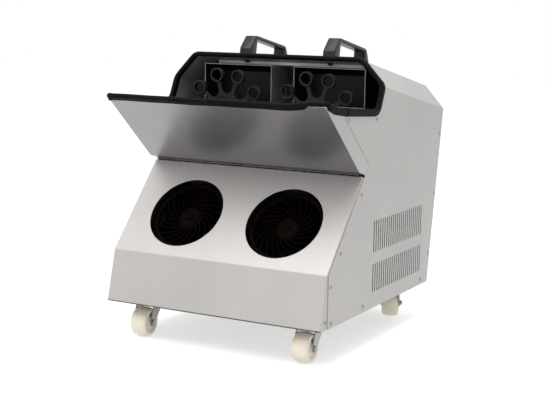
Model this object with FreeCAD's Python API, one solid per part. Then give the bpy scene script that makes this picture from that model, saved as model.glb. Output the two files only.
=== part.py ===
import FreeCAD, Part
import math
import os

# Bubble machine: sheet-metal case on four swivel casters, two front fans blowing
# through ducts behind two bubble wheels, a fluid tank and a hinged front flap.
# Millimetres. X across, Y from front to rear, Z up. Built from the front bottom
# edge of the case, then moved so that the origin is the middle of the footprint.

V = FreeCAD.Vector
O = V(0, 0, 0)
X = V(1, 0, 0)
Y = V(0, 1, 0)
Z = V(0, 0, 1)

# case
HALF = 240.0            # half the width over the cover
T = 1.5                 # sheet
IN = HALF - T           # inner face of the cover sides
LIP = (25.0, 103.0)     # top of the front lip
SLOPE_LEN = 223.5       # length of the sloping fan panel
SLOPE_DEG = 48.53
ROOF_Y = 250.0          # front edge of the roof
ROOF_Z = 492.0
ROOF_FALL = 0.187       # drop per mm towards the rear
CHAMFER_X = 192.5
CHAMFER_Z = 442.0
REAR_Y = 528.0
REAR_LEAN = 0.16822
FLANGE = 24.0
MOUTH_F = (88.2, 404.9)
MOUTH_G = (227.0, 396.0)
MOUTH_R = 20.0
# flap
FLAP_LOW = (154.0, 281.0)
FLAP_TOP = (0.0, 414.0)
FLAP_F = (86.0, 405.0)
FLAP_E = (83.0, 389.0)
FLAP_D = (196.0, 292.0)
FLAP_C = (177.5, 274.1)
FLAP_GAP = 1.2
HINGE_AT = 228.0        # along the slope from its foot
KNUCKLE_R = 3.2
KNUCKLES = 44
HINGE_HALF = 230.0
PIN_R = 1.25
RUN = 0.05              # radial running clearance
# fans
FAN_X = 111.0
FAN_Y = 93.0
FAN_Z = 180.0
FAN_R = 80.0
IMP_R = 76.0
BLADES = 22
HOUSE_DEEP = 62.0
# bubble wheels
WHEEL_X = 104.0
WHEEL_Y = 231.0
WHEEL_Z = 372.0
RINGS = 10
RING_AT = 81.0
RING_R = 14.5
RING_PHASE = 33.0
WEB_R = 70.0            # outer radius of the scalloped web
# ducts
DUCT_IN = 26.0
DUCT_OUT = 188.0
DUCT_T = 1.2
NOZZLE_Y = 284.0
BRACE_Y = 315.0
BRACE_HALF = 172.0
# handles
HANDLE_X = 98.0
HANDLE_Y = 294.0
HANDLE_L = 176.0
HANDLE_W = 27.0
HANDLE_H = 52.5
HANDLE_FOOT = 27.0
# casters: king pin at (x, y), resting turned by an angle about it
CAST_X = 184.0
CASTERS = {
    "front_left": (-CAST_X, 70.0, 5.0),
    "rear_left": (-CAST_X, 456.0, 170.0),
    "front_right": (CAST_X, 70.0, 2.0),
    "rear_right": (CAST_X, 456.0, 198.0),
}
CAST_H = 75.0
TREAD_R = 30.0
TREAD_W = 34.0
TRAIL = 22.0
AXLE_Z = TREAD_R - CAST_H
CHEEK_IN = TREAD_W / 2 + 1.5
CHEEK_OUT = CHEEK_IN + 2.4
BOLT_AT = (21.0, 26.0)
# vents
SLOTS = 24
VENT_Y = (232.0, 480.0)
VENT_ROWS = ((113.0, 177.0), (32.0, 90.0))

ROOF_DEG = math.degrees(math.atan(ROOF_FALL))
REAR_DEG = math.degrees(math.atan(REAR_LEAN))
US = (math.cos(math.radians(SLOPE_DEG)), math.sin(math.radians(SLOPE_DEG)))
NS = (-US[1], US[0])

SIDE_SCREWS = ((166.6, 235.7), (78.7, 134.9), (38.5, 79.2), (42.0, 9.0), (186.0, 12.5),
               (488.0, 11.0), (100.0, 384.0), (228.0, 378.0),
               (REAR_Y - 9 + 64 * REAR_LEAN, 64.0), (REAR_Y - 9 + 194 * REAR_LEAN, 194.0),
               (REAR_Y - 9 + 324 * REAR_LEAN, 324.0))
LIP_SCREW = (20.0, 15.0)


# ---- helpers -------------------------------------------------------------------

def roof_z(y):
    return ROOF_Z - ROOF_FALL * (y - ROOF_Y)


def rear_y(z):
    return REAR_Y + REAR_LEAN * z


def on_slope(s, n):
    """Point s along the slope from its foot and n out of it."""
    return (LIP[0] + s * US[0] + n * NS[0], LIP[1] + s * US[1] + n * NS[1])


def unit(a, b):
    d = math.hypot(b[0] - a[0], b[1] - a[1])
    return ((b[0] - a[0]) / d, (b[1] - a[1]) / d)


def round_corner(prev, p, nxt):
    """Start, middle and end of the arc that rounds corner p."""
    r = p[2] if len(p) > 2 else 0.0
    if r <= 0.0:
        return None
    a = unit(p, prev)
    b = unit(p, nxt)
    half = 0.5 * math.acos(max(-1.0, min(1.0, a[0] * b[0] + a[1] * b[1])))
    reach = r / math.tan(half)
    bis = unit((0, 0), (a[0] + b[0], a[1] + b[1]))
    deep = r / math.sin(half) - r
    start = (p[0] + a[0] * reach, p[1] + a[1] * reach)
    mid = (p[0] + bis[0] * deep, p[1] + bis[1] * deep)
    end = (p[0] + b[0] * reach, p[1] + b[1] * reach)
    return start, mid, end


def outline(pts, put):
    """Closed wire through pts (a, b[, corner radius]); put maps (a, b) into space."""
    n = len(pts)
    arcs = [round_corner(pts[i - 1], pts[i], pts[(i + 1) % n]) for i in range(n)]
    edges = []
    for i in range(n):
        j = (i + 1) % n
        if arcs[i]:
            edges.append(Part.Arc(put(arcs[i][0]), put(arcs[i][1]), put(arcs[i][2])).toShape())
        a = arcs[i][2] if arcs[i] else pts[i]
        b = arcs[j][0] if arcs[j] else pts[j]
        if math.hypot(a[0] - b[0], a[1] - b[1]) > 1e-6:
            edges.append(Part.LineSegment(put(a), put(b)).toShape())
    return Part.Wire(edges)


def slab(pts, x0, x1):
    """Polygon in the side plane (y, z), between two x values."""
    face = Part.Face(outline(pts, lambda p: V(x0, p[0], p[1])))
    return face.extrude(V(x1 - x0, 0, 0))


def bar(pts, y0, y1, fall=0.0):
    """Polygon in the front plane (x, z), drawn back from y0 to y1."""
    face = Part.Face(outline(pts, lambda p: V(p[0], y0, p[1])))
    return face.extrude(V(0, y1 - y0, -fall * (y1 - y0)))


def plate(pts, z0, z1):
    """Polygon in plan (x, y), between two heights."""
    face = Part.Face(outline(pts, lambda p: V(p[0], p[1], z0)))
    return face.extrude(V(0, 0, z1 - z0))


def box(x0, x1, y0, y1, z0, z1):
    return Part.makeBox(x1 - x0, y1 - y0, z1 - z0, V(x0, y0, z0))


def cyl(r, h, at, axis):
    return Part.makeCylinder(r, h, at, axis)


def tube(ro, ri, h, at, axis):
    return cyl(ro, h, at, axis).cut(cyl(ri, h + 2, at - axis, axis))


def offset_line(pts, d):
    """Open line moved d to its left, with mitred corners; corner radii follow."""
    out = []
    n = len(pts)
    for i in range(n):
        p = pts[i]
        r = p[2] if len(p) > 2 else 0.0
        u0 = unit(pts[i - 1], p) if i > 0 else unit(p, pts[i + 1])
        u1 = unit(p, pts[i + 1]) if i < n - 1 else u0
        n0 = (-u0[1], u0[0])
        n1 = (-u1[1], u1[0])
        m = (n0[0] + n1[0], n0[1] + n1[1])
        k = 2.0 * d / (m[0] ** 2 + m[1] ** 2)
        turn = u0[0] * u1[1] - u0[1] * u1[0]
        if r > 0:
            r = max(0.05, r - d if turn > 0 else r + d)
        out.append((p[0] + m[0] * k, p[1] + m[1] * k, r))
    return out


def ribbon(pts, d0, d1):
    """Closed outline of a sheet that follows an open line between two offsets."""
    return offset_line(pts, d0) + offset_line(pts, d1)[::-1]


def tilt(shape, deg, at):
    """Turn a shape about X through the origin, then carry it to a point."""
    s = shape.copy()
    s.rotate(O, X, deg)
    s.translate(at)
    return s


def fan_place(shape, side):
    return tilt(shape, SLOPE_DEG, V(side * FAN_X, FAN_Y, FAN_Z))


def rear_place(shape, x, z, proud=-3.0):
    return tilt(shape, -REAR_DEG, V(x, rear_y(z) + proud, z))


def ring_of(r, n, phase=0.0):
    for i in range(n):
        a = math.radians(phase + 360.0 * i / n)
        yield r * math.cos(a), r * math.sin(a), a


# ---- case ----------------------------------------------------------------------

def chassis_line():
    end = on_slope(SLOPE_LEN, 0)
    return [(526.0, 0.0), (0.0, 0.0, 3.0), (LIP[0], LIP[1], 8.0), end]


def plate_holes():
    """Bolt holes of a caster plate, from its king pin."""
    for dx in (-BOLT_AT[0], BOLT_AT[0]):
        for dy in (-BOLT_AT[1], BOLT_AT[1]):
            yield dx, dy


def caster_bolt_spots():
    for x, y, turn in CASTERS.values():
        for dx, dy in plate_holes():
            yield x + dx, y + dy


def make_chassis():
    line = chassis_line()
    skin = slab(ribbon(line, 0, -T), -IN, IN)
    side = slab(ribbon(line, 0, -FLANGE), IN - T, IN).cut(behind_rear(4.8))
    body = skin.fuse([side, side.mirror(O, X)])
    for side_x in (-1, 1):
        body = body.cut(fan_place(cyl(FAN_R, 20, V(0, 0, -10), Z), side_x))
    for x, y in caster_bolt_spots():
        body = body.cut(cyl(2.6, 10, V(x, y, -3), Z))
    for y, z in SIDE_SCREWS[:6] + (LIP_SCREW,):
        body = body.cut(cyl(2.0, 2 * HALF + 10, V(-HALF - 5, y, z), X))
    return body.removeSplitter()


def roof_line(z_low):
    return [(HALF, z_low), (HALF, CHAMFER_Z, 4.0), (CHAMFER_X, ROOF_Z, 4.0),
            (-CHAMFER_X, ROOF_Z, 4.0), (-HALF, CHAMFER_Z, 4.0), (-HALF, z_low)]


def behind_rear(inset=0.0):
    low = -20.0
    high = 520.0
    return slab([(rear_y(low) - inset, low), (700, low), (700, high),
                 (rear_y(high) - inset, high)], -300, 300)


def flap_side():
    return [FLAP_LOW, FLAP_C, (FLAP_D[0], FLAP_D[1], 4.0), FLAP_E, FLAP_F, FLAP_TOP]


def grown(pts, d):
    """Closed outline grown by d (points run anticlockwise)."""
    n = len(pts)
    out = []
    for i in range(n):
        three = [pts[i - 1][:2], pts[i], pts[(i + 1) % n][:2]]
        out.append(offset_line(three, -d)[1])
    return out


def side_sheet(x0, x1):
    foot = on_slope(9.0, -6.0)
    top = on_slope(229.0, -6.0)
    zt = CHAMFER_Z - ROOF_FALL * (620 - ROOF_Y)
    pts = [(31.0, 0.0), (620.0, 0.0), (620.0, zt), (ROOF_Y, CHAMFER_Z),
           (MOUTH_G[0], MOUTH_G[1], MOUTH_R), (MOUTH_F[0] - 3, MOUTH_F[1] + 0.2),
           (83.0, 389.0), top, foot, (31.0, 100.0)]
    gap = slab(grown(flap_side(), FLAP_GAP), x0 - 1, x1 + 1)
    return slab(pts, x0, x1).cut(gap).cut(behind_rear())


def vent_slots():
    cuts = []
    step = (VENT_Y[1] - VENT_Y[0]) / (SLOTS - 1)
    for z0, z1 in VENT_ROWS:
        for i in range(SLOTS):
            y = VENT_Y[0] + i * step
            pts = [(y - 2, z0, 1.9), (y + 2, z0, 1.9), (y + 2, z1, 1.9), (y - 2, z1, 1.9)]
            cuts.append(slab(pts, IN - 2, HALF + 2))
    return cuts


def handle_feet():
    for sx in (-1, 1):
        for u in (HANDLE_FOOT / 2, HANDLE_L - HANDLE_FOOT / 2):
            yield sx * HANDLE_X, u


def handle_place(shape, x):
    return tilt(shape, -ROOF_DEG, V(x, HANDLE_Y, roof_z(HANDLE_Y)))


def make_cover():
    side = side_sheet(IN, HALF).cut(Part.makeCompound(vent_slots()))
    for y, z in SIDE_SCREWS:
        side = side.cut(cyl(2.0, 10, V(IN - 4, y, z), X))
    top = bar(ribbon(roof_line(430.0), 0, T), ROOF_Y, 640.0, ROOF_FALL)
    top = top.cut(behind_rear())
    for x, u in handle_feet():
        top = top.cut(handle_place(cyl(3.0, 20, V(0, u, -10), Z), x))
    return side.fuse([side.mirror(O, X), top]).removeSplitter()


def make_rear_panel():
    inner = offset_line(roof_line(-300.0), T)
    space = bar(inner, ROOF_Y, 640.0, ROOF_FALL)
    strip = [(rear_y(T) - 4.5, T), (rear_y(T) - 3.0, T), (rear_y(470) - 3.0, 470.0),
             (rear_y(470) - 4.5, 470.0)]
    panel = slab(strip, -300, 300).common(space)
    low = [(rear_y(FLANGE) - 18, FLANGE), (rear_y(FLANGE) - 4.5, FLANGE),
           (rear_y(352) - 4.5, 352.0), (rear_y(352) - 18, 352.0)]
    ear = slab(low, IN - T, IN)
    foot = box(-200, 200, 505, rear_y(2) - 4.0, T, 2 * T)
    panel = panel.fuse([ear, ear.mirror(O, X), foot])
    for y, z in SIDE_SCREWS[8:]:
        panel = panel.cut(cyl(2.0, 2 * HALF + 10, V(-HALF - 5, y, z), X))
    panel = panel.cut(rear_place(box(-14, 14, -12, 12, -10.2, 10.2), 150, 70))
    panel = panel.cut(rear_place(box(-10.5, 10.5, -12, 12, -14.2, 14.2), 150, 125))
    panel = panel.cut(rear_place(cyl(6.2, 24, V(0, -12, 0), Y), 190, 70))
    panel = panel.cut(cyl(7.1, 60, V(0, 550, 262), Y))
    return panel.removeSplitter()


def make_mouth_trim(cover):
    line = [MOUTH_F, (MOUTH_G[0], MOUTH_G[1], MOUTH_R), (ROOF_Y, CHAMFER_Z)]
    side = slab(ribbon(line, 2.5, -10.0), HALF - 5.75, HALF + 4.25)
    arch = bar(ribbon(roof_line(437.0), -4.25, 5.75), ROOF_Y - 2.5, ROOF_Y + 10, ROOF_FALL)
    body = side.fuse([side.mirror(O, X), arch])
    return body.cut(cover).removeSplitter()


def screw(length, r=2.0, head=4.2):
    """Domed screw along +Z, head above z = 0, shank below it."""
    ball = Part.makeSphere(6.2, V(0, 0, -4.2))
    dome = cyl(head, 2.0, O, Z).common(ball)
    return dome.fuse(cyl(r, length, V(0, 0, -length), Z)).removeSplitter()


def make_side_screws():
    out = []
    right = screw(7.0)
    right.rotate(O, Y, 90)
    for y, z in SIDE_SCREWS + (LIP_SCREW,):
        s = right.copy()
        s.translate(V(IN if (y, z) == LIP_SCREW else HALF, y, z))
        out += [s, s.mirror(O, X)]
    return Part.makeCompound(out)


# ---- flap and hinge ------------------------------------------------------------

def hinge_point():
    return on_slope(HINGE_AT, 0.5)


def return_frame():
    """Direction of the flap's bottom return from the hinge, and its up normal."""
    p = hinge_point()
    base = math.hypot(FLAP_LOW[0] - p[0], FLAP_LOW[1] - p[1])
    a = math.atan2(FLAP_LOW[1] - p[1], FLAP_LOW[0] - p[0]) + math.asin(0.5 / base)
    return (math.cos(a), math.sin(a)), (math.sin(a), -math.cos(a))


def on_return(q, n):
    p = hinge_point()
    d, up = return_frame()
    return (p[0] + q * d[0] + n * up[0], p[1] + q * d[1] + n * up[1])


def make_flap():
    line = [on_return(4.6, 0.5), FLAP_LOW, FLAP_TOP]
    skin = slab(ribbon(line, 0, -T), -HALF, HALF)
    side = slab(flap_side(), IN, HALF)
    return skin.fuse([side, side.mirror(O, X)]).removeSplitter()


def make_flap_trim(flap):
    side = slab(ribbon([(2.0, FLAP_TOP[1] - 0.2), (FLAP_F[0] - 1.0, FLAP_F[1] + 0.1)], 2.5, -10.0),
                HALF - 5.75, HALF + 4.25)
    d = unit(FLAP_LOW, FLAP_TOP)
    low = (FLAP_TOP[0] - 10 * d[0], FLAP_TOP[1] - 10 * d[1])
    high = (FLAP_TOP[0] + 2.5 * d[0], FLAP_TOP[1] + 2.5 * d[1])
    top = slab(ribbon([low, high], 4.25, -5.75), -HALF - 4.25, HALF + 4.25)
    return top.fuse([side, side.mirror(O, X)]).cut(flap).removeSplitter()


def knuckle_spans(odd):
    step = 2 * HINGE_HALF / KNUCKLES
    for i in range(KNUCKLES):
        if i % 2 == odd:
            yield -HINGE_HALF + i * step + 0.15, -HINGE_HALF + (i + 1) * step - 0.15


def hinge_leaf(spot, odd, bore):
    """One leaf: a strip with a row of knuckles; spot(q, n) maps into the side plane."""
    p = hinge_point()
    strip = [spot(4.5, -2.0), spot(20.0, -2.0), spot(20.0, -3.2), spot(4.5, -3.2)]
    parts = []
    for x0, x1 in knuckle_spans(odd):
        tongue = [spot(0.0, -2.0), spot(6.0, -2.0), spot(6.0, -3.2), spot(0.0, -3.2)]
        parts.append(slab(tongue, x0, x1))
        parts.append(cyl(KNUCKLE_R, x1 - x0, V(x0, p[0], p[1]), X))
    leaf = slab(strip, -HINGE_HALF, HINGE_HALF).fuse(parts)
    leaf = leaf.cut(cyl(bore, 2 * HINGE_HALF + 10, V(-HINGE_HALF - 5, p[0], p[1]), X))
    return leaf.removeSplitter()


def make_hinge_fixed():
    return hinge_leaf(lambda q, n: on_slope(HINGE_AT - q, 0.5 + n), 0, PIN_R)


def make_hinge_moving():
    leaf = hinge_leaf(lambda q, n: on_return(q, -n), 1, PIN_R + RUN)
    return leaf.cut(slab([on_return(16.0, 0), on_return(30, 0), on_return(30, 9),
                          on_return(16.0, 9)], -300, 300))


def make_hinge_pin():
    p = hinge_point()
    return cyl(PIN_R, 2 * HINGE_HALF + 4, V(-HINGE_HALF - 2, p[0], p[1]), X)


# ---- fans ----------------------------------------------------------------------

def make_housing(side):
    wide = FAN_R + 8.0
    deep = HOUSE_DEEP
    shell = box(-wide, wide, -wide, wide, -deep, -T - 0.2)
    hollow = box(-wide + T, wide - T, -wide + T, wide - T, -deep + T, 1)
    lo = DUCT_IN + DUCT_T - FAN_X
    hi = DUCT_OUT - DUCT_T - FAN_X
    way = box(min(side * lo, side * hi), max(side * lo, side * hi), -61.5, 74.5, -deep - 1, -deep + 3)
    return fan_place(shell.cut(hollow).cut(way), side)


def blade():
    """One curved blade in plan, from the hub to the rim."""
    inner = []
    outer = []
    for i in range(7):
        f = i / 6.0
        r = 27.0 + 48.0 * f
        a = math.radians(46.0 * f ** 0.85)
        for w, line in ((-1.1, inner), (1.1, outer)):
            da = w / r
            line.append((r * math.cos(a + da), r * math.sin(a + da)))
    return plate(inner + outer[::-1], -42.0, -14.0)


def make_impeller(side):
    one = blade() if side > 0 else blade().mirror(O, X)
    parts = [cyl(74, 1.6, V(0, 0, -43.5), Z), tube(IMP_R, 69.0, 2.0, V(0, 0, -15.5), Z)]
    for x, y, a in ring_of(1.0, BLADES):
        b = one.copy()
        b.rotate(O, Z, math.degrees(a))
        parts.append(b)
    hub = cyl(28, 22, V(0, 0, -43.5), Z).fuse(Part.makeCone(28, 20, 5, V(0, 0, -21.5), Z))
    body = hub.fuse(parts).cut(cyl(4.0, 60, V(0, 0, -60), Z))
    return fan_place(body.removeSplitter(), side)


def make_fan_shaft(side):
    body = cyl(4.0, 48, V(0, 0, -62), Z).fuse(cyl(7.0, 3, V(0, 0, -16.5), Z))
    return fan_place(body, side)


def make_fan_motor(side):
    wide = FAN_R + 8.0 - T
    can = cyl(26, 42, V(0, 0, -90), Z).fuse(cyl(16, 2.5, V(0, 0, -48), Z))
    strap = box(-wide, wide, -15, 15, -52.0, -49.0)
    ears = box(-wide, -wide + 3, -15, 15, -58, -49).fuse(box(wide - 3, wide, -15, 15, -58, -49))
    body = can.fuse([strap, ears]).cut(cyl(4.0 + RUN, 30, V(0, 0, -63), Z))
    return fan_place(body.removeSplitter(), side)


# ---- ducts ---------------------------------------------------------------------

def duct_points():
    return [(98.1, 91.6), (352.0, 91.6, 10.0), (352.0, 455.0, 6.0), (337.0, 471.0, 6.0),
            (NOZZLE_Y, 471.0), (NOZZLE_Y, 392.0), (290.0, 392.0), (290.0, 196.0, 8.0),
            (190.3, 196.0)]


def make_duct(side):
    x0 = min(side * DUCT_IN, side * DUCT_OUT)
    x1 = max(side * DUCT_IN, side * DUCT_OUT)
    t = DUCT_T
    pts = duct_points()
    inner = [offset_line([pts[i - 1][:2], pts[i], pts[(i + 1) % len(pts)][:2]], t)[1]
             for i in range(len(pts))]
    inner[4] = (NOZZLE_Y - 5, 471.0 - t)
    inner[5] = (NOZZLE_Y - 5, 392.0 + t)
    inner[6] = (290.0 + t, 392.0 + t, 0.0)
    inner[0] = (98.1 - 5 + t, 91.6 + t)
    inner[8] = (190.3 - 8, 196.0 - t)
    return slab(pts, x0, x1).cut(slab(inner, x0 + t, x1 - t))


def make_brace():
    top = roof_z(BRACE_Y + T) - 2.0
    strip = box(-BRACE_HALF, BRACE_HALF, BRACE_Y, BRACE_Y + T, 471, top)
    foot = box(-BRACE_HALF, BRACE_HALF, BRACE_Y, BRACE_Y + 14, 471, 471 + T)
    return strip.fuse(foot).removeSplitter()


# ---- bubble wheels -------------------------------------------------------------

def scallop():
    """Rounded notch between two ring arms, lying along +X."""
    pts = [(41.0, -13.0, 12.9), (41.0, 13.0, 12.9), (54.0, 13.0), (WEB_R + 2, 19.0),
           (WEB_R + 2, -19.0), (54.0, -13.0)]
    face = Part.Face(outline(pts, lambda p: V(p[0], 0, p[1])))
    return face.extrude(V(0, 10, 0))


def make_bubble_wheel(side):
    """Scalloped web on a hub, with one short tube at the end of each arm."""
    c = V(side * WHEEL_X, WHEEL_Y - 5.0, WHEEL_Z)
    web = cyl(WEB_R, 3, V(0, 3.5, 0), Y)
    notch = scallop()
    for x, z, a in ring_of(1.0, RINGS, RING_PHASE + 180.0 / RINGS):
        cut = notch.copy()
        cut.rotate(O, Y, -math.degrees(a))
        web = web.cut(cut)
    tubes = []
    bores = []
    for x, z, a in ring_of(RING_AT, RINGS, RING_PHASE):
        at = V(x, 0, z)
        tubes.append(cyl(RING_R, 10, at, Y))
        bores.append(cyl(RING_R - 3.0, 12, at - Y, Y))
    rib = tube(36.0, 34.0, 6, V(0, 2, 0), Y)
    body = web.fuse([cyl(11, 10, O, Y), rib] + tubes).cut(Part.makeCompound(bores))
    body = body.cut(cyl(3.0, 20, V(0, -2, 0), Y)).removeSplitter()
    body.translate(c)
    return body


def make_wheel_shaft(side):
    c = V(side * WHEEL_X, WHEEL_Y - 7.0, WHEEL_Z)
    return cyl(3.0, 36, c, Y).fuse(cyl(6.0, 2, c, Y)).removeSplitter()


def make_gearmotor(side):
    x = side * WHEEL_X
    gear = box(x - 20, x + 20, 243.5, 262, WHEEL_Z - 26, WHEEL_Z + 12)
    can = cyl(12, 21, V(x, 262, WHEEL_Z), Y)
    end = cyl(9, 1, V(x, 282.5, WHEEL_Z), Y)
    bore = cyl(3.0 + RUN, 18, V(x, 243, WHEEL_Z), Y)
    return gear.fuse([can, end]).cut(bore).removeSplitter()


def make_bulkhead():
    wall = box(-IN, IN, 242, 243.5, 230, 385)
    shelf = box(-225, 225, 186, 242, 246.5, 248)
    lip = box(-225, 225, 186, 187.5, 236, 246.5)
    ear = box(IN - T, IN, 218, 242, 232, 385)
    body = wall.fuse([shelf, lip, ear, ear.mirror(O, X)])
    for side in (-1, 1):
        body = body.cut(cyl(9, 10, V(side * WHEEL_X, 238, WHEEL_Z), Y))
    body = body.cut(cyl(7.0, 10, V(0, 238, 262), Y))
    body = body.cut(cyl(2.0, 2 * HALF + 10, V(-HALF - 5, 228, 378), X))
    return body.removeSplitter()


def make_tank():
    outer = box(-225, 225, 186, 242, 248, 300)
    inner = box(-223, 223, 188, 240, 250, 310)
    rim = box(-229, 229, 182.5, 242, 298, 300).cut(box(-224, 224, 187, 241, 290, 310))
    body = outer.fuse(rim).cut(inner)
    return body.cut(cyl(7.0, 10, V(0, 236, 262), Y)).removeSplitter()


def make_drain():
    pipe = cyl(7.0, 352, V(0, 240, 262), Y)
    collar = cyl(11.0, 4, V(0, 243.5, 262), Y)
    nut = cyl(10.0, 5, V(0, 571.5, 262), Y)
    return pipe.fuse([collar, nut]).cut(cyl(5.0, 372, V(0, 230, 262), Y)).removeSplitter()


# ---- handles -------------------------------------------------------------------

def make_handle(side):
    w = HANDLE_W / 2
    h = HANDLE_H
    n = HANDLE_L
    f = HANDLE_FOOT
    outer = [(0, 0), (n, 0), (n, 23.5, 5), (n - 19, h - 1.5, 5), (n - 26, h, 6), (26, h, 6),
             (19, h - 1.5, 5), (0, 23.5, 5)]
    inner = [(f, -1), (n - f, -1), (n - f, h - 7.5, 4), (f, h - 7.5, 4)]
    body = slab(outer, -w, w).cut(slab(inner, -w - 1, w + 1))
    for u in (f / 2, n - f / 2):
        body = body.cut(cyl(3.0, 9, V(0, u, 0), Z))
    return handle_place(body, side * HANDLE_X)


def make_handle_bolts():
    out = []
    for x, u in handle_feet():
        bolt = cyl(3.0, 8 + T, V(0, u, -T), Z)
        hexa = [(5.5 * math.cos(math.radians(60 * i)), u + 5.5 * math.sin(math.radians(60 * i)))
                for i in range(6)]
        head = plate(hexa, -T - 5.0, -T - 1.0).fuse(cyl(7.5, 1.0, V(0, u, -T - 1.0), Z))
        out.append(handle_place(bolt.fuse(head).removeSplitter(), x))
    return Part.makeCompound(out)


# ---- electrics -----------------------------------------------------------------

def make_inlet():
    flange = box(-18, 18, 0, 3, -12, 12)
    body = box(-13.8, 13.8, -22, 0, -10, 10)
    space = plate([(-11, -17), (11, -17), (11, 5), (-11, 5)], -7.5, 7.5)
    pins = [box(-7.5, -6.0, -18, -3, -2, 2), box(6.0, 7.5, -18, -3, -2, 2),
            box(-0.8, 0.8, -18, -3, 2.5, 6.0)]
    return rear_place(flange.fuse(body).cut(space).fuse(pins), 150, 70)


def make_fuse_holder():
    body = cyl(6.0, 24, V(0, -24, 0), Y).fuse([cyl(8.5, 5, O, Y), cyl(6.5, 7, O, Y)])
    body = body.cut(box(-5, 5, 5.6, 8, -0.8, 0.8))
    return rear_place(body.removeSplitter(), 190, 70)


def make_switch_frame():
    body = box(-13, 13, 0, 2.5, -17, 17).fuse(box(-10.2, 10.2, -16, 0, -14, 14))
    body = body.cut(box(-8, 8, -9, 4, -11.5, 11.5))
    body = body.cut(cyl(1.5 + RUN, 18.4, V(-9.2, -2, 0), X))
    return rear_place(body.removeSplitter(), 150, 125)


def make_rocker():
    pts = [(-4.0, -10.6), (3.2, -10.6), (1.6, 0.0, 12.0), (3.2, 10.6), (-4.0, 10.6), (-7.0, 0.0, 9.0)]
    pips = cyl(1.5, 17.8, V(-8.9, -2, 0), X)
    body = slab(pts, -7.7, 7.7).fuse(pips).removeSplitter()
    body.rotate(V(0, -2, 0), X, -7.0)
    return rear_place(body, 150, 125)


def make_power_supply():
    body = box(-60, 60, 395, 500, 4, 50)
    feet = [box(sx * 62 - 8, sx * 62 + 8, y - 8, y + 8, T, 5.5) for sx in (-1, 1) for y in (410, 485)]
    lid = box(-61, 61, 394, 501, 50, 52)
    return body.fuse(feet + [lid]).removeSplitter()


# ---- casters -------------------------------------------------------------------

def swivel(shape, spot):
    """Turn a caster piece about its king pin to its resting angle and put it in place."""
    x, y, turn = spot
    s = shape.removeSplitter()
    s.rotate(O, Z, turn)
    s.translate(V(x, y, 0))
    return s


def make_caster_plate(spot):
    pts = [(-28, -34, 5), (28, -34, 5), (28, 34, 5), (-28, 34, 5)]
    body = plate(pts, -2.5, 0).fuse([cyl(21, 9.3, V(0, 0, -11.8), Z), cyl(5, 7, V(0, 0, -17), Z),
                                    cyl(8, 2.6, V(0, 0, -17.4), Z)])
    for dx, dy in plate_holes():
        body = body.cut(cyl(2.6, 10, V(dx, dy, -6), Z))
    return swivel(body, (spot[0], spot[1], 0.0))


def make_fork(spot):
    leg = [(-18, -12.1), (-TRAIL - 9, AXLE_Z + 2, 6), (-TRAIL - 5, AXLE_Z - 8, 6),
           (-TRAIL + 5, AXLE_Z - 8, 6), (-TRAIL + 11, AXLE_Z + 2, 6), (14, -17, 3), (14, -12.1)]
    w = CHEEK_OUT
    top = plate([(-w, -14, 2), (w, -14, 2), (w, 18, 6), (-w, 18, 6)], -14.5, -12.1)
    legs = [slab(leg, -w, -CHEEK_IN), slab(leg, CHEEK_IN, w)]
    body = top.fuse([cyl(18, 2.4, V(0, 0, -14.5), Z)] + legs)
    body = body.cut(cyl(5 + RUN, 10, V(0, 0, -18), Z))
    return swivel(body.cut(cyl(3.0, 60, V(-30, -TRAIL, AXLE_Z), X)), spot)


def make_axle(spot):
    hexa = [(5.4 * math.cos(math.radians(60 * i)) - TRAIL, 5.4 * math.sin(math.radians(60 * i)) + AXLE_Z)
            for i in range(6)]
    shank = cyl(3.0, 2 * CHEEK_OUT + 4.6, V(-CHEEK_OUT - 4.6, -TRAIL, AXLE_Z), X)
    head = cyl(5.6, 2.6, V(CHEEK_OUT, -TRAIL, AXLE_Z), X)
    return swivel(shank.fuse([head, slab(hexa, -CHEEK_OUT - 3.6, -CHEEK_OUT)]), spot)


def make_tread(spot):
    half = TREAD_W / 2
    pts = [(3.0 + RUN, -half - 1.1), (10.0, -half - 1.1), (10.0, -half + 2), (18.0, -half + 3.5),
           (21.0, -half, 1), (26.0, -half, 2.5), (TREAD_R, -half + 9, 34), (TREAD_R, half - 9, 34),
           (26.0, half, 2.5), (21.0, half, 1), (18.0, half - 3.5), (10.0, half - 2),
           (10.0, half + 1.1), (3.0 + RUN, half + 1.1)]
    face = Part.Face(outline(pts, lambda p: V(p[1], 0, p[0])))
    body = face.revolve(O, X, 360)
    body.translate(V(0, -TRAIL, AXLE_Z))
    return swivel(body, spot)


def make_caster_bolts():
    out = []
    for x, y in caster_bolt_spots():
        hexa = [(x + 4.4 * math.cos(math.radians(60 * i)), y + 4.4 * math.sin(math.radians(60 * i)))
                for i in range(6)]
        bolt = cyl(2.5, 9.5, V(x, y, -3.5), Z)
        out.append(bolt.fuse([cyl(4.5, 2.6, V(x, y, -5.1), Z), plate(hexa, T, T + 3.5)]).removeSplitter())
    return Part.makeCompound(out)


# ---- assembly ------------------------------------------------------------------

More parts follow.
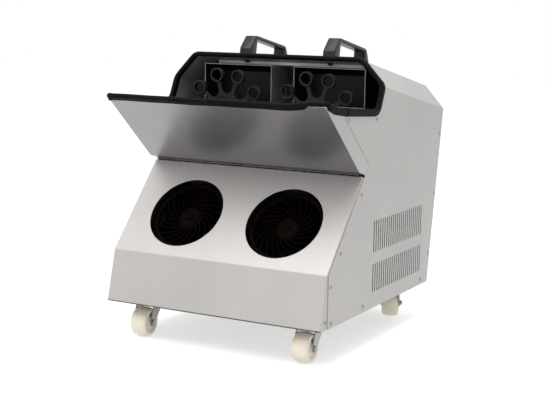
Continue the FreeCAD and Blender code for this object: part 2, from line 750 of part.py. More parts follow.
def build():
    cover = make_cover()
    flap = make_flap()
    nodes = {
        "chassis": make_chassis(), "cover": cover, "rear_panel": make_rear_panel(),
        "mouth_trim": make_mouth_trim(cover), "side_screws": make_side_screws(),
        "flap": flap, "flap_trim": make_flap_trim(flap), "hinge_leaf_fixed": make_hinge_fixed(),
        "hinge_leaf_moving": make_hinge_moving(), "hinge_pin": make_hinge_pin(),
        "bulkhead": make_bulkhead(), "fluid_tank": make_tank(), "drain_pipe": make_drain(),
        "nozzle_brace": make_brace(), "handle_bolts": make_handle_bolts(),
        "power_inlet": make_inlet(), "fuse_holder": make_fuse_holder(),
        "switch_frame": make_switch_frame(), "switch_rocker": make_rocker(),
        "power_supply": make_power_supply(), "caster_bolts": make_caster_bolts(),
    }
    for side, tag in ((-1, "left"), (1, "right")):
        nodes["handle_" + tag] = make_handle(side)
        nodes["fan_housing_" + tag] = make_housing(side)
        nodes["fan_motor_" + tag] = make_fan_motor(side)
        nodes["fan_shaft_" + tag] = make_fan_shaft(side)
        nodes["impeller_" + tag] = make_impeller(side)
        nodes["air_duct_" + tag] = make_duct(side)
        nodes["bubble_wheel_" + tag] = make_bubble_wheel(side)
        nodes["wheel_shaft_" + tag] = make_wheel_shaft(side)
        nodes["gearmotor_" + tag] = make_gearmotor(side)
    for name, spot in CASTERS.items():
        nodes["caster_plate_" + name] = make_caster_plate(spot)
        nodes["caster_fork_" + name] = make_fork(spot)
        nodes["caster_axle_" + name] = make_axle(spot)
        nodes["caster_wheel_" + name] = make_tread(spot)
    return nodes


def main():
    nodes = build()
    front = nodes["flap_trim"].optimalBoundingBox(False).YMin
    back = nodes["cover"].optimalBoundingBox(False).YMax
    shift = V(0, -0.5 * (front + back), CAST_H)
    os.makedirs("parts", exist_ok=True)
    for name, shape in nodes.items():
        shape.translate(shift)
        if not shape.isValid():
            print("NOT VALID", name)
        print("%-28s %2d solids %12.1f mm3" % (name, len(shape.Solids), shape.Volume))
        shape.exportStep("parts/" + name + ".step")
    print("nodes", len(nodes), "shift", round(shift.x, 3), round(shift.y, 3), round(shift.z, 3))
    print("front", round(front, 3), "back", round(back, 3))


main()
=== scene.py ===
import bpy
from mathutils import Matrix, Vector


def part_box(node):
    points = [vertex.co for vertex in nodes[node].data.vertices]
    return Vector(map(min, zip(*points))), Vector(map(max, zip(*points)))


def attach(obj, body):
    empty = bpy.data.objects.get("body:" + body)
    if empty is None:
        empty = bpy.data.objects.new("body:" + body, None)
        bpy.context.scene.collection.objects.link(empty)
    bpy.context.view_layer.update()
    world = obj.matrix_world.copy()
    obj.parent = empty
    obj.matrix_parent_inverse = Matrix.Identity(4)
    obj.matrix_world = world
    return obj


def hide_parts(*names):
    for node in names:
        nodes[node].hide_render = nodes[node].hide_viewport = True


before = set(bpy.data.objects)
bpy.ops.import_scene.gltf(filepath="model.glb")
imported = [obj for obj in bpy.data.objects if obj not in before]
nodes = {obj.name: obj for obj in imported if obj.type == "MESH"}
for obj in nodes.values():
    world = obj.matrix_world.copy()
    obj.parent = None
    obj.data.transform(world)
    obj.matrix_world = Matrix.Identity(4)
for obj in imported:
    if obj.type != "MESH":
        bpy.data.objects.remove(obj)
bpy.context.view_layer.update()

import bpy
import bmesh
import math
from mathutils import Matrix, Vector

SCENE = bpy.context.scene
SIDES = ("left", "right")
CORNERS = ("front_left", "rear_left", "front_right", "rear_right")

# The case's own measures, in metres, from its front bottom edge.
FRONT = Vector(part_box("chassis")[0])
ORIGIN = Vector((0.0, FRONT.y, FRONT.z))


def at(x, y, z):
    """A point given in millimetres from the middle of the case's front bottom edge."""
    return ORIGIN + Vector((x, y, z)) / 1000.0


# ---- materials -----------------------------------------------------------------

def new_material(name):
    m = bpy.data.materials.new(name)
    m.use_nodes = True
    nt = m.node_tree
    return m, nt, nt.nodes["Principled BSDF"]


def node(nt, kind, **inputs):
    n = nt.nodes.new(kind)
    for k, v in inputs.items():
        n.inputs[k].default_value = v
    return n


def coords(nt, scale=(1, 1, 1)):
    tc = nt.nodes.new("ShaderNodeTexCoord")
    mp = nt.nodes.new("ShaderNodeMapping")
    mp.inputs["Scale"].default_value = scale
    nt.links.new(tc.outputs["Object"], mp.inputs["Vector"])
    return mp.outputs["Vector"]


def noise(nt, vec, scale, detail=4.0, rough=0.55):
    n = node(nt, "ShaderNodeTexNoise", Scale=scale, Detail=detail, Roughness=rough)
    nt.links.new(vec, n.inputs["Vector"])
    return n.outputs["Fac"]


def ramp(nt, fac, stops):
    r = nt.nodes.new("ShaderNodeValToRGB")
    while len(r.color_ramp.elements) < len(stops):
        r.color_ramp.elements.new(0.5)
    for e, (pos, col) in zip(r.color_ramp.elements, stops):
        e.position = pos
        e.color = (*col, 1.0) if len(col) == 3 else col
    nt.links.new(fac, r.inputs["Fac"])
    return r.outputs["Color"]


def span(nt, fac, lo, hi):
    m = nt.nodes.new("ShaderNodeMapRange")
    m.inputs["To Min"].default_value = lo
    m.inputs["To Max"].default_value = hi
    nt.links.new(fac, m.inputs["Value"])
    return m.outputs["Result"]


def mix_colour(nt, fac, a, b):
    m = nt.nodes.new("ShaderNodeMix")
    m.data_type = "RGBA"
    nt.links.new(fac, m.inputs["Factor"])
    for sock, v in ((m.inputs["A"], a), (m.inputs["B"], b)):
        if isinstance(v, tuple):
            sock.default_value = (*v, 1.0)
        else:
            nt.links.new(v, sock)
    return m.outputs["Result"]


def mix_value(nt, op, a, b):
    m = nt.nodes.new("ShaderNodeMath")
    m.operation = op
    for sock, v in zip(m.inputs, (a, b)):
        if isinstance(v, (int, float)):
            sock.default_value = v
        else:
            nt.links.new(v, sock)
    return m.outputs["Value"]


def edge_mask(nt, radius):
    """1 on sharp edges, 0 on flats: the rounded normal against the true one."""
    bev = node(nt, "ShaderNodeBevel", Radius=radius)
    bev.samples = 4
    geo = nt.nodes.new("ShaderNodeNewGeometry")
    dot = nt.nodes.new("ShaderNodeVectorMath")
    dot.operation = "DOT_PRODUCT"
    nt.links.new(bev.outputs["Normal"], dot.inputs[0])
    nt.links.new(geo.outputs["Normal"], dot.inputs[1])
    m = nt.nodes.new("ShaderNodeMapRange")
    m.inputs["From Min"].default_value = 0.995
    m.inputs["From Max"].default_value = 0.85
    nt.links.new(dot.outputs["Value"], m.inputs["Value"])
    return m.outputs["Result"]


def bump(nt, bsdf, height, strength, distance, radius=0.0):
    b = node(nt, "ShaderNodeBump", Strength=strength, Distance=distance)
    nt.links.new(height, b.inputs["Height"])
    if radius > 0:
        bev = node(nt, "ShaderNodeBevel", Radius=radius)
        bev.samples = 4
        nt.links.new(bev.outputs["Normal"], b.inputs["Normal"])
    nt.links.new(b.outputs["Normal"], bsdf.inputs["Normal"])


def position(nt):
    """Object X (unsigned), Y and Z as three sockets."""
    tc = nt.nodes.new("ShaderNodeTexCoord")
    sep = nt.nodes.new("ShaderNodeSeparateXYZ")
    nt.links.new(tc.outputs["Object"], sep.inputs["Vector"])
    return mix_value(nt, "ABSOLUTE", sep.outputs["X"], 0.0), sep.outputs["Y"], sep.outputs["Z"]


def zone(nt, *tests):
    """1 where every test (socket, "over" or "under", value) holds."""
    out = None
    for sock, side, value in tests:
        one = mix_value(nt, "GREATER_THAN" if side == "over" else "LESS_THAN", sock, value)
        out = one if out is None else mix_value(nt, "MULTIPLY", out, one)
    return out


def split_colour(nt, colour, other):
    """Swap in a second colour inside a zone; other is (zone function, colour) or None."""
    if other is None:
        return colour
    return mix_colour(nt, other[0](nt), colour, other[1])


def tinted(nt, colour, tick):
    """One colour multiplied by another."""
    mul = nt.nodes.new("ShaderNodeMix")
    mul.data_type = "RGBA"
    mul.blend_type = "MULTIPLY"
    mul.inputs["Factor"].default_value = 1.0
    nt.links.new(colour, mul.inputs["A"])
    nt.links.new(tick, mul.inputs["B"])
    return mul.outputs["Result"]


def sheet_paint(name, base, worn_and_highlight, metallic=0.40, rough=(0.42, 0.50), other=None, round_off=0.0018):
    """Satin metallic paint on sheet steel: fine flake, faint cloudiness, edges lightened as rubbed
    wear plus a painted highlight along the bends.
    """
    m, nt, b = new_material(name)
    vec = coords(nt)
    flake = noise(nt, vec, 2600.0, 2.0)
    cloud = noise(nt, vec, 5.0, 5.0)
    dark = tuple(c * 0.94 for c in base)
    light = tuple(min(1.0, c * 1.05) for c in base)
    colour = split_colour(nt, ramp(nt, cloud, ((0.3, dark), (0.7, light))), other)
    tick = ramp(nt, flake, ((0.35, (0.93, 0.93, 0.93)), (0.65, (1.05, 1.05, 1.05))))
    colour = tinted(nt, colour, tick)
    # The lighter edge colour is partly rubbed wear and partly a painted highlight along the
    # sheet's bends.
    rub = mix_value(nt, "MULTIPLY", edge_mask(nt, 0.0016),
                    span(nt, noise(nt, vec, 160.0, 6.0), -0.6, 1.5))
    clamp = nt.nodes.new("ShaderNodeClamp")
    nt.links.new(rub, clamp.inputs["Value"])
    nt.links.new(mix_colour(nt, clamp.outputs["Result"], colour, worn_and_highlight), b.inputs["Base Color"])
    smudge = noise(nt, coords(nt, (1.0, 1.0, 0.35)), 22.0, 6.0, 0.65)
    nt.links.new(span(nt, smudge, *rough), b.inputs["Roughness"])
    b.inputs["Metallic"].default_value = metallic
    bump(nt, b, flake, 0.10, 0.00006, round_off)
    return m


def brushed(name, base, direction=(1, 60, 60), metallic=1.0, rough=(0.24, 0.36), grain=420.0,
            depth=0.12, radius=0.0005, other=None):
    """Rolled or brushed metal: streaks along one axis, soft variation across."""
    m, nt, b = new_material(name)
    streak = noise(nt, coords(nt, direction), grain / 60.0, 5.0, 0.6)
    cloud = noise(nt, coords(nt), 7.0, 4.0)
    dark = tuple(c * 0.90 for c in base)
    light = tuple(min(1.0, c * 1.06) for c in base)
    a = split_colour(nt, ramp(nt, streak, ((0.25, dark), (0.75, light))), other)
    c = ramp(nt, cloud, ((0.3, (0.94, 0.94, 0.94)), (0.7, (1.03, 1.03, 1.02))))
    nt.links.new(tinted(nt, a, c), b.inputs["Base Color"])
    nt.links.new(span(nt, streak, *rough), b.inputs["Roughness"])
    b.inputs["Metallic"].default_value = metallic
    bump(nt, b, streak, depth, 0.00005, radius)
    return m


def plated(name, base, spot, metallic=1.0, rough=(0.25, 0.42)):
    """Zinc or nickel plating: cloudy patches and small dull spots."""
    m, nt, b = new_material(name)
    vec = coords(nt)
    cells = node(nt, "ShaderNodeTexVoronoi", Scale=300.0)
    nt.links.new(vec, cells.inputs["Vector"])
    dull = noise(nt, vec, 90.0, 6.0, 0.7)
    fac = mix_value(nt, "MULTIPLY", dull, span(nt, cells.outputs["Distance"], 0.6, 1.3))
    nt.links.new(ramp(nt, fac, ((0.25, base), (0.7, spot))), b.inputs["Base Color"])
    nt.links.new(span(nt, dull, *rough), b.inputs["Roughness"])
    b.inputs["Metallic"].default_value = metallic
    bump(nt, b, dull, 0.12, 0.00008, 0.0004)
    return m


def rubber(name, base):
    m, nt, b = new_material(name)
    vec = coords(nt)
    fine = noise(nt, vec, 1500.0, 3.0)
    dust = noise(nt, vec, 40.0, 6.0, 0.7)
    grey = tuple(c * 2.1 + 0.004 for c in base)
    nt.links.new(ramp(nt, dust, ((0.45, base), (0.85, grey))), b.inputs["Base Color"])
    nt.links.new(span(nt, dust, 0.46, 0.66), b.inputs["Roughness"])
    b.inputs["Specular IOR Level"].default_value = 0.05
    bump(nt, b, fine, 0.35, 0.0001, 0.0008)
    return m


def moulded(name, base, grain=900.0, rough=(0.38, 0.52), depth=0.3, radius=0.0006, gloss=0.5):
    """Moulded plastic: spark-eroded texture, shinier where handled."""
    m, nt, b = new_material(name)
    vec = coords(nt)
    cells = node(nt, "ShaderNodeTexVoronoi", Scale=grain)
    nt.links.new(vec, cells.inputs["Vector"])
    rub = noise(nt, vec, 30.0, 5.0)
    light = tuple(c * 1.6 + 0.001 for c in base)
    nt.links.new(ramp(nt, rub, ((0.4, base), (0.8, light))), b.inputs["Base Color"])
    nt.links.new(span(nt, rub, rough[1], rough[0]), b.inputs["Roughness"])
    b.inputs["Specular IOR Level"].default_value = gloss
    bump(nt, b, cells.outputs["Distance"], depth, 0.00012, radius)
    return m


def nylon(name):
    """Cream nylon tread: slightly waxy, scuffed grey where it rolls."""
    m, nt, b = new_material(name)
    vec = coords(nt)
    scuff = noise(nt, vec, 130.0, 7.0, 0.7)
    tint = noise(nt, vec, 25.0, 4.0)
    body = ramp(nt, tint, ((0.3, (0.57, 0.53, 0.43)), (0.7, (0.63, 0.59, 0.49))))
    fac = ramp(nt, scuff, ((0.60, (0.0, 0.0, 0.0)), (0.80, (0.35, 0.35, 0.35))))
    nt.links.new(mix_colour(nt, fac, body, (0.42, 0.38, 0.32)), b.inputs["Base Color"])
    nt.links.new(span(nt, scuff, 0.30, 0.60), b.inputs["Roughness"])
    b.inputs["Subsurface Weight"].default_value = 0.12
    b.inputs["Subsurface Scale"].default_value = 0.004
    bump(nt, b, scuff, 0.25, 0.00012, 0.0008)
    return m


SHEET_EDGE = 0.0006      # half a sheet's thickness, which tells its edge or back from its face
FLAP_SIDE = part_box("flap")[1][0] - 0.0016
NOZZLE = Vector(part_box("air_duct_right")[0])
VENT_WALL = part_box("cover")[1][0] - 0.0002      # just under the outer face of a side
VENT_DEEP = 0.0012
VENT_Y = (226.0, 486.0)      # the two blocks of slots, in case millimetres
VENT_Z = (28.0, 181.0)
HEM_HIGH = 3.0
HEM_DEEP = 4.0


def flap_flange(nt):
    """The flap's two side flanges, which face outwards like the case's sides."""
    x, y, z = position(nt)
    return zone(nt, (x, "over", FLAP_SIDE))


def duct_outside(nt):
    """The ducts' facing walls between the wheels and the lips of their nozzles."""
    x, y, z = position(nt)
    between = zone(nt, (x, "under", NOZZLE.x + SHEET_EDGE))
    lip = zone(nt, (y, "under", at(0, 284.0, 0).y + SHEET_EDGE), (z, "over", at(0, 0, 391.0).z))
    return mix_value(nt, "MAXIMUM", between, lip)


def hem_and_slot_shade(nt):
    """Painted shadow along the bottom hem of the front, and painted shade on the walls of the vent
    slots.
    """
    x, y, z = position(nt)
    hem = zone(nt, (y, "under", at(0, HEM_DEEP, 0).y), (z, "under", at(0, 0, HEM_HIGH).z))
    slots = zone(nt, (x, "under", VENT_WALL), (x, "over", VENT_WALL - VENT_DEEP),
                 (y, "over", at(0, VENT_Y[0], 0).y), (y, "under", at(0, VENT_Y[1], 0).y),
                 (z, "over", at(0, 0, VENT_Z[0]).z), (z, "under", at(0, 0, VENT_Z[1]).z))
    return mix_value(nt, "MAXIMUM", hem, slots)


SILVER = (0.358, 0.346, 0.336)
MATS = {
    "case": sheet_paint("case_paint", SILVER, (0.62, 0.61, 0.60),
                        # Near black in these zones: painted shadow along the front's bottom hem,
                        # painted shade on the vent slot walls.
                        other=(hem_and_slot_shade, (0.03, 0.028, 0.026))),
    # The bulkhead's near-black colour is painted shade for the dark inside of the case.
    "inside": sheet_paint("case_inside_painted_shade", (0.10, 0.095, 0.09), (0.2, 0.2, 0.2)),
    # The flap is the case's silver paint; its darker face colour is painted shade, because it
    # faces down and forward. Its side flanges keep SILVER.
    "flap": sheet_paint("flap_satin_painted_shade", (0.262, 0.250, 0.254), (0.50, 0.49, 0.48), 0.80,
                        (0.27, 0.34), (flap_flange, SILVER), 0.0012),
    # The ducts' near-black colour is painted shade inside the mouth; their facing outer walls and
    # nozzle lips keep a light sheet colour.
    "duct": brushed("duct_sheet", (0.022, 0.018, 0.017), (60, 1, 60), 0.75, (0.35, 0.5),
                    other=(duct_outside, (0.42, 0.41, 0.40))),
    "housing": brushed("fan_housing_sheet", (0.05, 0.048, 0.046), (60, 1, 60), 0.75, (0.4, 0.5)),
    "strip": brushed("strip_sheet", (0.93, 0.90, 0.88), (1, 60, 60), 0.1, (0.45, 0.6)),
    "tank": brushed("tank_steel", (0.48, 0.48, 0.47), (1, 60, 60), 0.95, (0.28, 0.4)),
    "rubber": rubber("rubber_trim", (0.0022, 0.0016, 0.0017)),
    "fastener": plated("fastener_zinc", (0.36, 0.35, 0.34), (0.24, 0.23, 0.22)),
    "black_bolt": plated("blackened_bolt", (0.02, 0.018, 0.018), (0.05, 0.045, 0.04), 0.6),
    # The hinge's dark steel colour is painted shade for the dark line under the flap's lower edge.
    "hinge": plated("hinge_steel_painted_shade", (0.11, 0.10, 0.10), (0.05, 0.045, 0.045)),
    "zinc": plated("caster_zinc", (0.42, 0.415, 0.41), (0.26, 0.25, 0.24), 1.0, (0.22, 0.42)),
    "shaft": brushed("ground_shaft", (0.62, 0.62, 0.61), (60, 60, 60), 1.0, (0.15, 0.25)),
    "handle": moulded("handle_plastic", (0.004, 0.004, 0.0045), 1100.0, (0.26, 0.36), 0.2,
                      gloss=0.3),
    "electric": moulded("electrical_plastic", (0.02, 0.02, 0.021), 2200.0, (0.3, 0.4), 0.15),
    "fan": moulded("fan_plastic", (0.002, 0.0006, 0.0004), 1500.0, (0.5, 0.65), 0.15, gloss=0.02),
    "bubble": moulded("bubble_wheel_plastic", (0.012, 0.0105, 0.010), 1500.0, (0.3, 0.45), 0.15,
                      gloss=0.18),
    "motor": moulded("motor_enamel", (0.012, 0.012, 0.013), 700.0, (0.4, 0.5), 0.2, gloss=0.2),
    "brass": plated("drain_brass", (0.60, 0.43, 0.18), (0.38, 0.26, 0.11)),
    "nylon": nylon("caster_nylon"),
}


def paint(mat, *names):
    for n in names:
        mesh = nodes[n].data
        mesh.materials.clear()
        mesh.materials.append(MATS[mat])


paint("case", "chassis", "cover", "rear_panel")
paint("inside", "bulkhead")
paint("flap", "flap")
paint("rubber", "mouth_trim", "flap_trim")
paint("fastener", "side_screws", "caster_bolts")
paint("black_bolt", "handle_bolts")
paint("hinge", "hinge_leaf_fixed", "hinge_leaf_moving", "hinge_pin")
paint("strip", "nozzle_brace")
paint("tank", "fluid_tank")
paint("brass", "drain_pipe")
paint("electric", "power_inlet", "fuse_holder", "switch_frame", "switch_rocker", "power_supply")
for side in SIDES:
    paint("duct", "air_duct_" + side)
    paint("housing", "fan_housing_" + side)
    paint("handle", "handle_" + side)
    paint("fan", "impeller_" + side, "fan_shaft_" + side)
    paint("bubble", "bubble_wheel_" + side)
    paint("shaft", "wheel_shaft_" + side)
    paint("motor", "fan_motor_" + side, "gearmotor_" + side)
for corner in CORNERS:
    paint("zinc", "caster_plate_" + corner, "caster_fork_" + corner, "caster_axle_" + corner)
    paint("nylon", "caster_wheel_" + corner)


# ---- edge trims ----------------------------------------------------------------

# Case measures in millimetres, from the middle of its front bottom edge.
HALF = 240.0
SHEET = 1.5
GUNWALE_FRONT = (88.2, 404.9)
GUNWALE_REAR = (227.0, 396.0)
FLAP_LOW = (154.0, 281.0)
FLAP_TOP = (0.0, 414.0)
HOOD_Y = 253.75
HOOD_SIDE_Z = 441.7
CHAMFER_X = 192.5
ROOF_Z = 492.0
TRIM_THICK = 5.0         # half thickness of the rubber across the sheet
TRIM_DEEP = 7.5          # half depth of the rubber along the sheet
TRIM_SET = 5.05          # how far its middle sits back from the sheet's edge


def mesh_piece(name, bm, mat, body, slot, *replaced):
    """Turn a bmesh, built in case millimetres, into a piece that rides on a body."""
    bmesh.ops.recalc_face_normals(bm, faces=bm.faces)
    me = bpy.data.meshes.new(name)
    bm.transform(Matrix.Translation(ORIGIN) @ Matrix.Scale(0.001, 4))
    bm.to_mesh(me)
    bm.free()
    me.materials.append(MATS[mat])
    o = bpy.data.objects.new(name, me)
    SCENE.collection.objects.link(o)
    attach(o, body)
    if replaced:
        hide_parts(*replaced)
    return o


def smooth_shade(o, degrees=40.0):
    for f in o.data.polygons:
        f.use_smooth = True
    o.data.set_sharp_from_angle(angle=math.radians(degrees))


def curve_corners(points, radii, step):
    """A polyline with its corners rounded: (point, segment position) pairs.

    The segment position is i + fraction, where i is the run that the point lies on.
    """
    out = []
    last = len(points) - 1
    for i in range(last):
        a = points[i]
        b = points[i + 1]
        d = (b - a).normalized()
        start = a + d * (radii[i] if i > 0 else 0.0)
        end = b - d * (radii[i + 1] if i + 1 < last else 0.0)
        count = max(1, round((end - start).length / step))
        for k in range(count + 1):
            out.append((start.lerp(end, k / count), float(i)))
        if i + 1 < last:
            after = b + (points[i + 2] - b).normalized() * radii[i + 1]
            for k in range(1, 8):
                t = k / 8.0
                p = end * (1 - t) ** 2 + b * 2 * t * (1 - t) + after * t ** 2
                out.append((p, i + t))
    return out


def sweep(bm, path, across, profile):
    """Carry a closed profile along a path; across[i] is the profile's first axis on run i."""
    rings = []
    for k, (p, where) in enumerate(path):
        ahead = path[min(k + 1, len(path) - 1)][0] - path[max(k - 1, 0)][0]
        t = ahead.normalized()
        i = int(where)
        f = where - i
        n = across[i].lerp(across[min(i + 1, len(across) - 1)], f)
        n = (n - t * n.dot(t)).normalized()
        d = t.cross(n)
        rings.append([bm.verts.new(p + n * u + d * v) for u, v in profile])
    for r0, r1 in zip(rings, rings[1:]):
        for j in range(len(profile)):
            k = (j + 1) % len(profile)
            bm.faces.new((r0[j], r0[k], r1[k], r1[j]))
    bm.faces.new(rings[0])
    bm.faces.new(rings[-1][::-1])


def trim_profile():
    """Edge rubber in section: a round nose, flat cheeks and two lips that pinch the sheet."""
    nose = [(TRIM_THICK * math.sin(a), -TRIM_DEEP + TRIM_THICK * (1 - math.cos(a)))
            for a in (math.radians(18 * i) for i in range(-5, 6))]
    cheek = [(TRIM_THICK * 0.97, 2.2), (TRIM_THICK * 0.86, 2.9), (TRIM_THICK * 0.90, 3.6),
             (TRIM_THICK * 0.80, TRIM_DEEP - 0.8), (TRIM_THICK * 0.55, TRIM_DEEP)]
    return nose + cheek + [(-u, v) for u, v in cheek[::-1]]


def set_back(a, b, d):
    """The line a to b in the side plane moved d to its right."""
    u = Vector((b[0] - a[0], b[1] - a[1])).normalized()
    move = Vector((u.y, -u.x)) * d
    return Vector(a) + move, Vector(b) + move


def hood_trim():
    """One length of rubber: along the gunwale, up the side and over the hood, and back down."""
    x = HALF - SHEET / 2
    low, corner = set_back(GUNWALE_FRONT, GUNWALE_REAR, TRIM_SET)
    top = ROOF_Z - SHEET / 2
    half = [Vector((x, low.x, low.y)), Vector((x, corner.x + 3.4, corner.y)),
            Vector((x, HOOD_Y, HOOD_SIDE_Z)), Vector((CHAMFER_X - 0.3, HOOD_Y, top))]
    side = Vector((1, 0, 0))
    chamfer = Vector((ROOF_Z - HOOD_SIDE_Z, 0, HALF - CHAMFER_X)).normalized()
    flip = Matrix.Diagonal((-1, 1, 1))
    points = half + [flip @ p for p in half[::-1]]
    across = [side, side, chamfer, Vector((0, 0, 1)), flip @ chamfer, flip @ side, flip @ side]
    radii = [0, 17, 9, 10, 10, 9, 17, 0]
    bm = bmesh.new()
    sweep(bm, curve_corners(points, radii, 12.0), across, trim_profile())
    o = mesh_piece("hood_edge_rubber", bm, "rubber", "case", "rubber", "mouth_trim")
    smooth_shade(o)


def pulled_off(p):
    """The rubber doesn't turn the flap's right corner tightly: it stands off there."""
    near = max(0.0, min(1.0, (p.x - 150.0) / 78.0))
    side = max(0.0, min(1.0, 1.0 - (p.y - 6.0) / 34.0))
    lift = 6.5 * near * near * (3 - 2 * near) * side
    wave = 0.25 * math.sin(p.x / 37.0) + 0.2 * math.sin(p.x / 16.0 + 1.3)
    return Vector((p.x, p.y, p.z + lift + wave * (1 if p.y < 8 else 0)))


def flap_trim():
    x = HALF - SHEET / 2
    rear, front = set_back(GUNWALE_FRONT, FLAP_TOP, -TRIM_SET)
    along = Vector((FLAP_TOP[0] - FLAP_LOW[0], FLAP_TOP[1] - FLAP_LOW[1])).normalized()
    crest = Vector(FLAP_TOP) - along * TRIM_SET + Vector((-along.y, along.x)) * -SHEET / 2
    points = [Vector((x, rear.x - 3.4, rear.y + 0.3)), Vector((x, crest.x, crest.y)),
              Vector((-x, crest.x, crest.y)), Vector((-x, rear.x - 3.4, rear.y + 0.3))]
    inward = Vector((0, along.y, -along.x))
    across = [Vector((-1, 0, 0)), inward, Vector((1, 0, 0))]
    path = curve_corners(points, [0, 9, 9, 0], 9.0)
    bm = bmesh.new()
    sweep(bm, [(pulled_off(p), w) for p, w in path], across, trim_profile())
    o = mesh_piece("flap_edge_rubber", bm, "rubber", "flap", "rubber", "flap_trim")
    smooth_shade(o)


hood_trim()
flap_trim()


# ---- handles and screws --------------------------------------------------------

ROOF_FALL = 0.187
HANDLE_SPOT = (98.0, 294.0)
HANDLE_LONG = 176.0
HANDLE_WIDE = 27.0
HANDLE_HIGH = 52.5
FOOT = 27.0              # length of each foot along the roof
BAR = 7.5                # thickness of the bar


def roof_frame(x, y):
    """From handle measures (across, along the roof, off the roof) to case millimetres."""
    lean = Matrix.Rotation(-math.atan(ROOF_FALL), 4, "X")
    return Matrix.Translation((x, y, ROOF_Z - ROOF_FALL * (y - 250.0))) @ lean


def handle_outline():
    n = HANDLE_LONG
    h = HANDLE_HIGH
    corners = [(0, 0), (0, 23.5), (19, h - 1.5), (26, h), (n - 26, h), (n - 19, h - 1.5),
               (n, 23.5), (n, 0), (n - FOOT, 0), (n - FOOT, h - BAR), (FOOT, h - BAR), (FOOT, 0)]
    radii = [0, 4, 3, 3, 3, 3, 4, 0, 0, 4, 4, 0]
    path = curve_corners([Vector((0, u, v)) for u, v in corners], radii, 60.0)
    out = []
    for p, where in path:
        if not out or (p - out[-1]).length > 0.05:
            out.append(p)
    return out


def make_handle(side, name):
    """A moulded bridge handle: two feet and a bar, with every edge rounded."""
    bm = bmesh.new()
    w = HANDLE_WIDE / 2
    loop = handle_outline()
    near = [bm.verts.new((w, p.y, p.z)) for p in loop]
    far = [bm.verts.new((-w, p.y, p.z)) for p in loop]
    bm.faces.new(near)
    bm.faces.new(far[::-1])
    for i in range(len(loop)):
        j = (i + 1) % len(loop)
        bm.faces.new((near[i], far[i], far[j], near[j]))
    bmesh.ops.recalc_face_normals(bm, faces=bm.faces)
    rims = [e for e in bm.edges
            if e.verts[0].co.x == e.verts[1].co.x and max(v.co.z for v in e.verts) > 0.1]
    bmesh.ops.bevel(bm, geom=rims, offset=2.6, segments=4, profile=0.5, affect="EDGES",
                    clamp_overlap=True)
    bm.transform(roof_frame(side * HANDLE_SPOT[0], HANDLE_SPOT[1]))
    o = mesh_piece(name, bm, "handle", "case", "black_plastic", "handle_" + name.split("_")[-1])
    smooth_shade(o, 50.0)


SCREW_SPOTS = ((166.6, 235.7), (78.7, 134.9), (38.5, 79.2), (42.0, 9.0), (186.0, 12.5),
               (488.0, 11.0), (100.0, 384.0), (228.0, 378.0))
REAR_LEAN = 0.16822      # how far the rear edge leans back for each millimetre up
REAR_EDGE_Y = 519.0
REAR_SCREW_Z = (64.0, 194.0, 324.0)
LIP_SCREW = (20.0, 15.0)
HEAD_R = 4.2
DOME_R = 6.2
CROSS_HALF = 0.55
CROSS_REACH = 2.3


def screw_height(x, y):
    """A domed head with a cross recess."""
    z = math.sqrt(max(0.0, DOME_R ** 2 - x * x - y * y)) - HEAD_R
    thin = min(abs(x), abs(y))
    reach = max(abs(x), abs(y))
    if thin < CROSS_HALF and reach < CROSS_REACH:
        return z - 1.2 * (1.0 - 0.35 * reach / CROSS_REACH)
    return z


def screw_head(bm, place, twist):
    rings = []
    spokes = 32
    for radius in (0.3, 0.62, 1.0, 1.5, 2.1, 2.45, 3.1, 3.7, 4.05, HEAD_R):
        ring = []
        for k in range(spokes):
            a = 2 * math.pi * k / spokes
            x = radius * math.cos(a)
            y = radius * math.sin(a)
            z = screw_height(x, y)
            c = math.cos(twist)
            d = math.sin(twist)
            ring.append(bm.verts.new(place @ Vector((x * c - y * d, x * d + y * c, z))))
        rings.append(ring)
    skirt = [2 * math.pi * k / spokes + twist for k in range(spokes)]
    rings.append([bm.verts.new(place @ Vector((HEAD_R * math.cos(a), HEAD_R * math.sin(a), 0.02)))
                  for a in skirt])
    bm.faces.new(rings[0])
    bm.faces.new(rings[-1][::-1])
    for inner, outer in zip(rings, rings[1:]):
        for k in range(spokes):
            j = (k + 1) % spokes
            bm.faces.new((inner[k], outer[k], outer[j], inner[j]))


def side_screws():
    """The domed screws down both sides, each left at its own angle."""
    bm = bmesh.new()
    spots = [(y, z, HALF) for y, z in SCREW_SPOTS]
    spots += [(REAR_EDGE_Y + z * REAR_LEAN, z, HALF) for z in REAR_SCREW_Z]
    spots.append((LIP_SCREW[0], LIP_SCREW[1], HALF - SHEET))
    for i, (y, z, x) in enumerate(spots):
        for side in (1, -1):
            turn_out = Matrix.Rotation(math.radians(90 * side), 4, "Y")
            place = Matrix.Translation((side * x, y, z)) @ turn_out
            screw_head(bm, place, 0.7 * i + 0.4 * side)
    o = mesh_piece("side_screw_heads", bm, "fastener", "case", "bright_steel", "side_screws")
    smooth_shade(o, 35.0)


for side, sign in (("left", -1), ("right", 1)):
    make_handle(sign, "handle_grip_" + side)
side_screws()


# ---- stage ---------------------------------------------------------------------

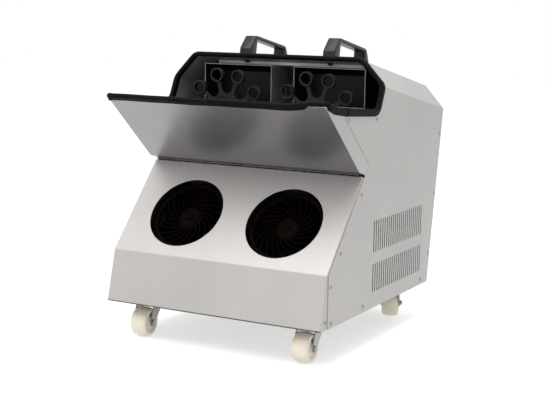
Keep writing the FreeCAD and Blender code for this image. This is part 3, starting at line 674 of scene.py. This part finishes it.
def make_floor():
    me = bpy.data.meshes.new("floor")
    r = 9.0
    me.from_pydata([(-r, -r, 0), (r, -r, 0), (r, r, 0), (-r, r, 0)], [], [(0, 1, 2, 3)])
    o = bpy.data.objects.new("floor", me)
    SCENE.collection.objects.link(o)
    m, nt, b = new_material("floor_pale")
    spot = noise(nt, coords(nt), 3.0, 3.0)
    nt.links.new(ramp(nt, spot, ((0.3, (0.49, 0.49, 0.49)), (0.7, (0.51, 0.51, 0.51)))),
                 b.inputs["Base Color"])
    b.inputs["Roughness"].default_value = 0.9
    b.inputs["Emission Color"].default_value = (1.0, 1.0, 1.0, 1.0)
    b.inputs["Emission Strength"].default_value = 0.52
    me.materials.append(m)


def area_light(name, loc, look, size, power):
    data = bpy.data.lights.new(name, "AREA")
    data.shape = "RECTANGLE"
    data.size = size[0]
    data.size_y = size[1]
    data.energy = power
    o = bpy.data.objects.new(name, data)
    o.location = loc
    o.rotation_euler = (Vector(look) - Vector(loc)).to_track_quat("-Z", "Y").to_euler()
    SCENE.collection.objects.link(o)


make_floor()
world = bpy.data.worlds.new("studio")
SCENE.world = world
world.use_nodes = True
world.node_tree.nodes["Background"].inputs["Color"].default_value = (1, 1, 1, 1)
world.node_tree.nodes["Background"].inputs["Strength"].default_value = 1.0
middle = at(0, 300, 250)
area_light("key", middle + Vector((-0.4, -1.5, 2.9)), middle, (3.0, 3.0), 125)
area_light("front", middle + Vector((0.9, -3.0, 0.5)), middle, (2.4, 1.0), 1)
area_light("top", middle + Vector((0.7, 0.5, 3.0)), middle, (2.4, 2.4), 40)
SCENE.view_settings.view_transform = "Standard"
SCENE.view_settings.exposure = 0.0

# ---- camera --------------------------------------------------------------------
CAM_AT = (1196.5, -1961.3, 579.6)      # case millimetres
YAW = 0.494                            # radians, as are the next two
PITCH = 0.1518
ROLL = 0.0183
LENS = 80.07


def turn(angle, axis):
    return Matrix.Rotation(angle, 3, axis)


def make_camera():
    data = bpy.data.cameras.new("camera")
    data.lens = LENS
    data.sensor_width = 36.0
    cam = bpy.data.objects.new("camera", data)
    base = Matrix(((1, 0, 0), (0, 0, -1), (0, 1, 0)))
    rows = turn(ROLL, "Z") @ turn(PITCH, "X") @ turn(YAW, "Y") @ base
    flip = Matrix(((1, 0, 0), (0, -1, 0), (0, 0, -1)))
    cam.matrix_world = Matrix.Translation(at(*CAM_AT)) @ (rows.transposed() @ flip).to_4x4()
    SCENE.collection.objects.link(cam)
    SCENE.camera = cam


make_camera()
